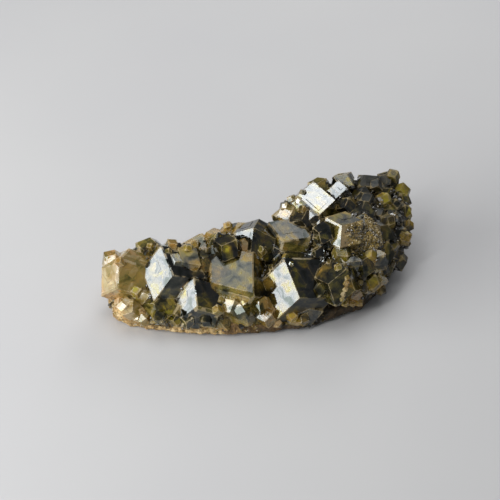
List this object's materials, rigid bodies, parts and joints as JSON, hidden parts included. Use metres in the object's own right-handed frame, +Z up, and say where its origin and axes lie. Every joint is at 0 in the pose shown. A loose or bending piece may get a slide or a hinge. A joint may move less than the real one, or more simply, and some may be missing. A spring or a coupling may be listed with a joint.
{
  "type": "garnet crystal specimen",
  "caption": "Bent bank of intergrown dodecahedral garnet crystals on a thin plate of pale matrix rock that it rests on",
  "frame": {"origin": "middle of the bounding box, on the flat underside of the matrix", "axes": "+X along the specimen towards its broad end, +Y from its front edge to its back edge, +Z up"},
  "size_m": [0.089, 0.0504, 0.0258],
  "materials": {
    "garnet": "glossy crystal faces, dark olive brown, see-through in thin places",
    "matrix_rock": "matte granular rock"
  },
  "bodies": {
    "root": {"garnet_crystals": "garnet", "matrix": "matrix_rock"}
  },
  "joints": []
}
